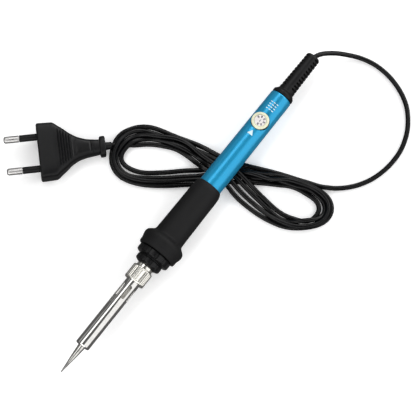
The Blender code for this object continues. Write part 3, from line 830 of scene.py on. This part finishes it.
def make_collar(looks):
    outline = [
        (75.2, 5.0),
        (75.2, 5.6),
        (75.9, 7.4),
        (76.4, 7.95),
        (79.0, 7.95),
        (79.3, 7.4),
        (79.8, 7.4),
        (80.2, 8.1),
        (80.2, 9.7),
        (80.8, 10.35),
        (83.8, 10.35),
        (84.2, 10.1),
        (84.2, 5.7),
        (97.2, 5.7),
        (97.2, 5.0),
    ]

    def notched(place, size, angle):
        wave = between(math.cos(angle * COLLAR_NOTCHES), -0.75, -0.35)
        for start, end, least, depth in COLLAR_RINGS:
            if start <= place <= end and size > least:
                return size - depth * (1 - wave)
        return size

    outline = rounded(outline, 0.2, 3, True)
    piece = turned("notched_collar", outline, looks["bakelite"], 360, radius=notched, sharp_deg=45)
    place_piece(piece, "handle", "bakelite", "front_collar")


def make_grip(looks):
    outline = [
        (84.5, 7.3),
        (84.5, 11.6),
        (84.9, 11.95),
        (87.4, 12.05),
        (89.2, 12.6),
        (91.0, 12.9),
        (92.6, 12.45),
        (93.8, 11.2),
        (94.8, 9.7),
        (95.8, 9.1),
        (100.0, 8.95),
        (126.0, 8.65),
        (130.4, 8.5),
        (132.2, 8.05),
        (133.3, 7.5),
        (133.3, 7.3),
    ]
    piece = turned("soft_grip", rounded(outline, 1.1, 5, True), looks["silicone"], 128, sharp_deg=60)
    place_piece(piece, "handle", "silicone", "grip_sleeve")


DIAL_X = (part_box("dial_knob")[0].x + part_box("dial_knob")[1].x) / 2 / MM
DIAL_HOLE_R = 5.4
HANDLE_TAPER = ((137.0, HANDLE_R), (170.0, 6.85), (200.0, 6.7))


def handle_radius(place):
    """The shell's radius at a distance from the tip."""
    places, radii = zip(*HANDLE_TAPER)
    return float(np.interp(place, places, radii))


def make_handle(looks):
    outline = [
        (85.2, 6.0),
        (85.2, HANDLE_R),
        HANDLE_TAPER[0],
        HANDLE_TAPER[1],
        (199.5, HANDLE_TAPER[2][1]),
        (200.0, 6.4),
        (200.0, 5.7),
        (98.2, 5.7),
        (98.2, 6.0),
    ]
    piece = turned("blue_handle", rounded(outline, 0.3, 3, True), looks["blue_shell"], 144)
    hole = prism(circle(DIAL_HOLE_R, 96), 3.0, 9.0, Matrix.Translation((DIAL_X, 0.0, AXIS_Z)))
    carve(piece, *hole, looks["blue_shell"], 0.15)
    place_piece(piece, "handle", "blue_shell", "handle_shell")


PRINT_THICKNESS = 0.05


def wrapped_patch(start, end, half_width, middle=0.0, rows=4, columns=6):
    """A thin printed patch on the handle's top, from start to end, as wide as half_width(place) says
    on each side of a line middle millimetres round from the top."""
    vertices = []
    for lift in (-0.02, PRINT_THICKNESS):
        for row in range(rows + 1):
            place = start + (end - start) * row / rows
            reach = handle_radius(place)
            for column in range(columns + 1):
                aside = middle + half_width(place) * (2 * column / columns - 1)
                angle = aside / reach
                vertices.append(
                    (
                        TIP_POINT - place,
                        (reach + lift) * math.sin(angle),
                        AXIS_Z + (reach + lift) * math.cos(angle),
                    )
                )
    wide = columns + 1
    layer = wide * (rows + 1)
    faces = []
    for row in range(rows):
        for column in range(columns):
            a = row * wide + column
            faces.append((a, a + wide, a + wide + 1, a + 1))
            faces.append((layer + a, layer + a + 1, layer + a + wide + 1, layer + a + wide))
    rim = list(range(columns)) + [columns + row * wide for row in range(rows)]
    rim += [rows * wide + columns - column for column in range(columns)]
    rim += [(rows - row) * wide for row in range(rows)]
    for index, corner in enumerate(rim):
        after = rim[(index + 1) % len(rim)]
        faces.append((corner, after, layer + after, layer + corner))
    return vertices, faces


POINTER_START, POINTER_END = 170.0, 173.0
POINTER_HALF, POINTER_TIP_HALF = 1.76, 0.04
DASH_STARTS = (188.3, 189.9, 191.5, 193.1)
DASH_LENGTH, DASH_HALF = 0.5, 0.62
DASH_SPACING, DASH_SHIFT = 1.9, 0.15


def make_prints(looks):
    """The white pointer at the dial, and rows of plain dashes behind the dial."""

    def pointer_half(place):
        length = POINTER_END - POINTER_START
        return POINTER_TIP_HALF + POINTER_HALF * (POINTER_END - place) / length

    pointer = wrapped_patch(POINTER_START, POINTER_END, pointer_half, rows=8)
    piece = make_object("pointer_print", *pointer, looks["print_white"])
    place_piece(piece, "handle", "dial_cream")
    parts = []
    for row, start in enumerate(DASH_STARTS):
        for column in (-1, 0, 1):
            middle = DASH_SPACING * column + DASH_SHIFT * (row % 2)
            dash = wrapped_patch(start, start + DASH_LENGTH, lambda place: DASH_HALF, middle, 1, 4)
            parts.append(dash)
    piece = make_object("dash_prints", *together(parts), looks["print_white"])
    place_piece(piece, "handle", "dial_cream")


DIAL_R = 5.1
DIAL_TOP = 7.75
DIAL_LABELS = ("200", "250", "300", "350", "400", "450")
LABEL_STEP_DEG = 48.0


def dial_matrix(angle_deg=0.0, height=0.0):
    place = Matrix.Translation((DIAL_X, 0.0, AXIS_Z + height))
    return place @ Matrix.Rotation(math.radians(angle_deg), 4, "Z")


def make_label(text, angle_deg):
    """A number on the dial, read outwards from its middle."""
    data = bpy.data.curves.new("label", "FONT")
    data.body = text
    data.size = 1.0
    data.align_x = "CENTER"
    data.align_y = "CENTER"
    data.extrude = 0.02
    data.offset = 0.035
    data.resolution_u = 3
    made = bpy.data.objects.new("label", data)
    bpy.context.scene.collection.objects.link(made)
    bpy.context.view_layer.update()
    mesh = bpy.data.meshes.new_from_object(made)
    bpy.data.objects.remove(made)
    squeeze = Matrix.Diagonal((0.92, 1.35, 1.0, 1.0))
    matrix = dial_matrix(angle_deg, 7.5) @ Matrix.Translation((2.35, 0.0, 0.0)) @ squeeze
    vertices = [tuple(matrix @ vertex.co) for vertex in mesh.vertices]
    faces = [tuple(polygon.vertices) for polygon in mesh.polygons]
    bpy.data.meshes.remove(mesh)
    return vertices, faces


def make_dial(looks):
    upright = dial_matrix() @ Matrix.Rotation(-math.pi / 2, 4, "Y")
    rim = [
        (7.1, 3.62),
        (DIAL_TOP - 0.05, 3.62),
        (DIAL_TOP, 3.8),
        (DIAL_TOP, 4.7),
        (DIAL_TOP - 0.35, DIAL_R),
        (6.6, DIAL_R),
        (6.6, 1.8),
        (7.1, 1.8),
    ]
    piece = turned("dial_rim", rounded(rim, 0.15, 3, True), looks["dial_cream"], 96, at=upright)
    place_piece(piece, "dial", "dial_cream", "dial_knob")
    centre = [(7.0, 0.0), (7.0, 3.44), (7.35, 3.44), (7.48, 3.3), (7.48, 0.0)]
    centre = rounded(centre, 0.1, 3)
    piece = turned("dial_centre", centre, looks["dial_white"], 96, closed=False, at=upright)
    place_piece(piece, "dial", "dial_cream")
    parts = [make_label(text, LABEL_STEP_DEG * index) for index, text in enumerate(DIAL_LABELS)]
    head = [(0.95, 0.0), (0.25, 0.38), (0.25, 0.12)]
    shaft = [(-0.8, 0.12), (-0.8, -0.12)]
    arrow = head + shaft + [(0.25, -0.12), (0.25, -0.38)]
    parts.append(prism(arrow, 7.46, 7.53, dial_matrix()))
    piece = make_object("dial_numbers", *together(parts), looks["print_dark"])
    place_piece(piece, "dial", "dial_cream")


BOOT_SLOTS = 11
BOOT_SLOT_FIRST, BOOT_SLOT_STEP = 207.0, 2.2
BOOT_SLOT_HALF, BOOT_SLOT_WEB, BOOT_SLOT_DEPTH = 0.56, 2.2, 5.0
BOOT_SLOT_REACH = 7.0


def make_boot(looks):
    outline = [
        (196.2, 1.7),
        (196.2, 5.3),
        (200.3, 5.3),
        (200.3, 6.3),
        (200.8, 6.6),
        (202.2, 6.6),
        (202.8, 6.15),
        (204.2, 4.9),
        (214.0, 4.65),
        (230.0, 4.35),
        (231.0, 3.9),
        (231.0, 1.7),
    ]
    piece = turned("strain_relief", rounded(outline, 0.35, 4, True), looks["black_pvc"], 72)
    parts = []
    half, depth = BOOT_SLOT_HALF, BOOT_SLOT_DEPTH
    box = [(-half, 0.0), (half, 0.0), (half, depth), (-half, depth)]
    low, high = AXIS_Z - BOOT_SLOT_REACH, AXIS_Z + BOOT_SLOT_REACH
    for side in (1, -1):
        for index in range(BOOT_SLOTS):
            x = TIP_POINT - (BOOT_SLOT_FIRST + BOOT_SLOT_STEP * index)
            outline = [(x + u, side * (BOOT_SLOT_WEB + v)) for u, v in box]
            parts.append(prism(outline, low, high, Matrix.Identity(4)))
    carve(piece, *together(parts), looks["black_pvc"], 0.36)
    place_piece(piece, "handle", "black_pvc", "strain_relief_boot")


# ---------------------------------------------------------------- plug

PLUG_HALF = 6.85
PLUG_SECTIONS = [
    (0.0, 16.4, 0.0),
    (9.6, 16.1, 0.0),
    (12.0, 14.1, -0.3),
    (14.8, 12.1, -0.7),
    (18.6, 8.9, -1.3),
    (22.8, 6.5, -1.8),
    (27.7, 5.1, -2.3),
    (34.8, 4.3, -2.95),
]
PLUG_FLANGE = [
    (34.95, 4.25, 3.85),
    (35.1, 5.5, 4.2),
    (35.6, 6.1, 4.5),
    (37.8, 6.1, 4.5),
    (38.35, 5.6, 4.15),
    (38.5, 2.3, 2.3),
    (41.8, 2.1, 2.1),
    (PLUG_END, 1.75, 1.75),
]
PLUG_EDGE = 1.1
PLUG_BODY_END = PLUG_SECTIONS[-1][0]
PLUG_FINE_STEP, PLUG_STEP = 0.12, 0.25
PLUG_SQUARENESS = ((0.0, 0.26), (12.0, 0.30), (24.0, 0.52), (PLUG_BODY_END, 0.7))
RIB_PEAK, RIB_PITCH, RIB_HEIGHT = 12.0, 1.5, 0.6
RIBS, PAD, GROOVE = (11.4, 19.4, 0.3), (21.6, 29.4, 1.0), (30.2, 31.4, 0.5)
PAD_HEIGHT, GROOVE_DEPTH = 0.28, 0.5
PIN_SPACING = 19.0
PIN_R = 2.0
PIN_CORE_R = 1.5
PIN_LENGTH = 19.0
PIN_END_ROUND, PIN_END_FLAT_R = 1.4, 0.6
PIN_ROOT = 7.7
SLEEVE_LENGTH = 10.0
PIN_HOLE_R, PIN_HOLE_DEPTH = 2.3, 8.0


def plug_size(u):
    """Half width and half thickness of the plug's body."""
    places, widths, heights = np.array(PLUG_SECTIONS).T
    around = np.maximum(u + np.linspace(-0.9, 0.9, 7), 0.0)
    width = float(np.mean(np.interp(around, places, widths)))
    height = float(np.mean(np.interp(around, places, heights)))
    round_in = max(0.0, PLUG_EDGE - u)
    inset = PLUG_EDGE - math.sqrt(max(0.0, PLUG_EDGE**2 - round_in**2))
    return width - inset, PLUG_HALF + height - inset


def plug_ring(u, half_width, half_height, power, points=112):
    ring = []
    for index in range(points):
        angle = math.tau * (index + 0.5) / points
        c, s = math.cos(angle), math.sin(angle)
        v = half_width * math.copysign(abs(c) ** power, c)
        w = half_height * math.copysign(abs(s) ** power, s)
        ring.append((u, v, w))
    return ring


def ribbed(u, v, w, half_width, half_height):
    """Raised grip ribs across both faces, and a smooth pad behind them."""
    share = abs(v) / half_width
    face = between(abs(w) / half_height, 0.8, 0.97) * (1 - between(share, 0.70, 0.86))
    rib = RIB_HEIGHT * max(0.0, math.cos(math.tau * (u - RIB_PEAK) / RIB_PITCH)) * window(u, *RIBS)
    raised = rib + PAD_HEIGHT * window(u, *PAD) - GROOVE_DEPTH * window(u, *GROOVE)
    return w + math.copysign(face * raised, w)


def make_plug(looks):
    rings = []
    for scale in (0.25, 0.5, 0.75, 0.92):
        width, height = plug_size(0.0)
        rings.append(plug_ring(0.0, width * scale, height * scale, 0.3))
    u = 0.0
    while u < PLUG_BODY_END:
        width, height = plug_size(u)
        power = float(np.interp(u, *zip(*PLUG_SQUARENESS)))
        ring = plug_ring(u, width, height, power)
        rings.append([(a, b, ribbed(a, b, c, width, height)) for a, b, c in ring])
        u += PLUG_FINE_STEP if u < PLUG_EDGE else PLUG_STEP
    for place, width, height in rounded(PLUG_FLANGE, 0.35, 3):
        rings.append(plug_ring(place, width, height, 0.7 if width > 3 else 1.0))
    count = len(rings[0])
    vertices = [place for ring in rings for place in ring]
    faces = [tuple(range(count)), tuple(reversed(range(len(vertices) - count, len(vertices))))]
    for row in range(len(rings) - 1):
        for index in range(count):
            after = (index + 1) % count
            a, b = row * count + index, row * count + after
            faces.append((a, b, b + count, a + count))
    matrix = Matrix.Translation(PLUG_FRONT) @ plug_turn()
    vertices = [tuple(matrix @ Vector((u, v + plug_bow(u), w))) for u, v, w in vertices]
    body = make_object("moulded_plug", vertices, faces, looks["black_pvc"], 40)
    ring = circle(PIN_HOLE_R, 48)
    inwards = Matrix.Rotation(math.pi / 2, 4, "Y")
    parts = []
    for side in (-1, 1):
        place = matrix @ Matrix.Translation((0.0, side * PIN_SPACING / 2, 0.0)) @ inwards
        parts.append(prism(ring, -PIN_HOLE_DEPTH, PIN_HOLE_DEPTH, place))
    carve(body, *together(parts), looks["black_pvc"])
    place_piece(body, "handle", "black_pvc", "plug_body")
    return body


def make_pins(looks):
    """Round pins with rounded ends, and the sleeves over their roots."""
    step = -(SLEEVE_LENGTH + 0.3)
    shoulder = -(PIN_LENGTH - PIN_END_ROUND)
    pin = [(PIN_ROOT, 0.0), (PIN_ROOT, PIN_CORE_R), (step, PIN_CORE_R), (step, PIN_R), (shoulder, PIN_R)]
    for index in range(1, 9):
        angle = math.pi / 2 * index / 8
        reach = PIN_END_FLAT_R + (PIN_R - PIN_END_FLAT_R) * math.cos(angle)
        pin.append((shoulder - PIN_END_ROUND * math.sin(angle), reach))
    pin.append((-PIN_LENGTH, 0.0))
    bore = PIN_CORE_R + 0.3
    sleeve = [(PIN_ROOT, bore), (PIN_ROOT, PIN_R), (-SLEEVE_LENGTH, PIN_R), (-SLEEVE_LENGTH, bore)]
    frame_matrix = Matrix.Translation(PLUG_FRONT) @ plug_turn()
    made = []
    for name, side in (("left", -1), ("right", 1)):
        at = frame_matrix @ Matrix.Translation((0.0, side * PIN_SPACING / 2, 0.0))
        piece = turned(f"pin_{name}", pin, looks["pin_metal"], 48, closed=False, at=at)
        made.append(place_piece(piece, "handle", "pin_metal", f"plug_pin_{name}"))
        piece = turned(f"sleeve_{name}", rounded(sleeve, 0.12, 3, True), looks["black_pvc"], 48, at=at)
        made.append(place_piece(piece, "handle", "black_pvc", f"pin_sleeve_{name}"))
    return made


def paint_nodes(looks):
    """Gives each CAD node that stays its own slot's material."""
    for row in frame["record"]["subparts"]:
        node = frame["nodes"][row["node"]]
        if node.hide_render:
            continue
        node.data.materials.clear()
        node.data.materials.append(looks[row["material_slot"]])


# ---------------------------------------------------------------- stage

LOOK_AT = Vector((-9.96, 4.85, 0.0))
CAMERA_AZIMUTH_DEG = 127.83
CAMERA_ELEVATION_DEG = 76.0
CAMERA_DISTANCE = 900.0
LENS = 136.4


def back_vector(azimuth_deg, elevation_deg):
    azimuth, elevation = math.radians(azimuth_deg), math.radians(elevation_deg)
    return Vector(
        (
            math.sin(azimuth) * math.cos(elevation),
            -math.cos(azimuth) * math.cos(elevation),
            math.sin(elevation),
        )
    )


def make_camera():
    data = bpy.data.cameras.new("camera")
    data.lens = LENS
    data.sensor_width = 36.0
    camera = bpy.data.objects.new("camera", data)
    bpy.context.scene.collection.objects.link(camera)
    back = back_vector(CAMERA_AZIMUTH_DEG, CAMERA_ELEVATION_DEG)
    camera.location = (LOOK_AT + back * CAMERA_DISTANCE) * MM
    camera.rotation_euler = (-back).to_track_quat("-Z", "Y").to_euler()
    bpy.context.scene.camera = camera


def make_light(name, direction, distance, size, radiance):
    """A soft rectangular light. Its first size runs along the iron, and its radiance is what a mirror
    would show of it."""
    data = bpy.data.lights.new(name, "AREA")
    data.shape = "RECTANGLE"
    data.size, data.size_y = size
    data.energy = radiance * math.pi * size[0] * size[1]
    light = bpy.data.objects.new(name, data)
    bpy.context.scene.collection.objects.link(light)
    back = Vector(direction).normalized()
    light.location = LOOK_AT * MM + back * distance
    side = Vector((1.0, 0.0, 0.0))
    side = (side - back * side.dot(back)).normalized()
    up = back.cross(side)
    light.rotation_euler = Matrix((side, up, back)).transposed().to_euler()


def across(angle_deg, along=-0.19):
    """A direction from the iron: an angle from straight up towards +Y, and a share along +X."""
    angle = math.radians(angle_deg)
    reach = math.sqrt(1 - along**2)
    return (along, reach * math.sin(angle), reach * math.cos(angle))


# Each light's name, direction from the iron, distance and two sizes in metres, and radiance.
LIGHTS = (
    ("key", across(56.0), 1.6, (3.0, 2.0), 1.15),
    ("edge", across(-24.0), 1.5, (2.4, 0.55), 2.2),
    ("low_side", across(-66.0), 1.6, (2.2, 0.5), 0.35),
    ("front", (0.86, 0.1, 0.5), 1.7, (1.0, 2.2), 3.0),
    ("back", (-0.86, 0.0, 0.5), 1.7, (1.0, 2.2), 3.0),
)
FLOOR_GLOW = 0.22
WORLD_LIGHT = 0.14


def make_stage():
    bm = bmesh.new()
    bmesh.ops.create_grid(bm, x_segments=1, y_segments=1, size=3.0)
    mesh = bpy.data.meshes.new("floor")
    bm.to_mesh(mesh)
    bm.free()
    floor = bpy.data.objects.new("floor", mesh)
    bpy.context.scene.collection.objects.link(floor)
    look = Look("floor_white", (0.95, 0.95, 0.95), 0.9, specular=0.0)
    look.shader.inputs["Emission Color"].default_value = (1.0, 1.0, 1.0, 1.0)
    look.shader.inputs["Emission Strength"].default_value = FLOOR_GLOW
    mesh.materials.append(look.material)
    floor.visible_glossy = False
    world = bpy.data.worlds.new("studio")
    world.use_nodes = True
    world.node_tree.nodes["Background"].inputs["Color"].default_value = (1.0, 1.0, 1.0, 1.0)
    world.node_tree.nodes["Background"].inputs["Strength"].default_value = WORLD_LIGHT
    bpy.context.scene.world = world
    for name, direction, distance, size, radiance in LIGHTS:
        make_light(name, direction, distance, size, radiance)
    bpy.context.scene.view_settings.view_transform = "Standard"


def main():
    make_camera()
    make_stage()
    looks = make_looks()
    cord = place_piece(make_cord(looks["cord"]), "handle", "black_pvc", "cord_tail", "cord_hank")
    plug = make_plug(looks)
    pins = make_pins(looks)
    make_tip(looks)
    make_barrel(looks)
    make_nut(looks)
    make_spigot(looks)
    make_collar(looks)
    make_grip(looks)
    make_handle(looks)
    make_prints(looks)
    make_dial(looks)
    make_boot(looks)
    paint_nodes(looks)


main()
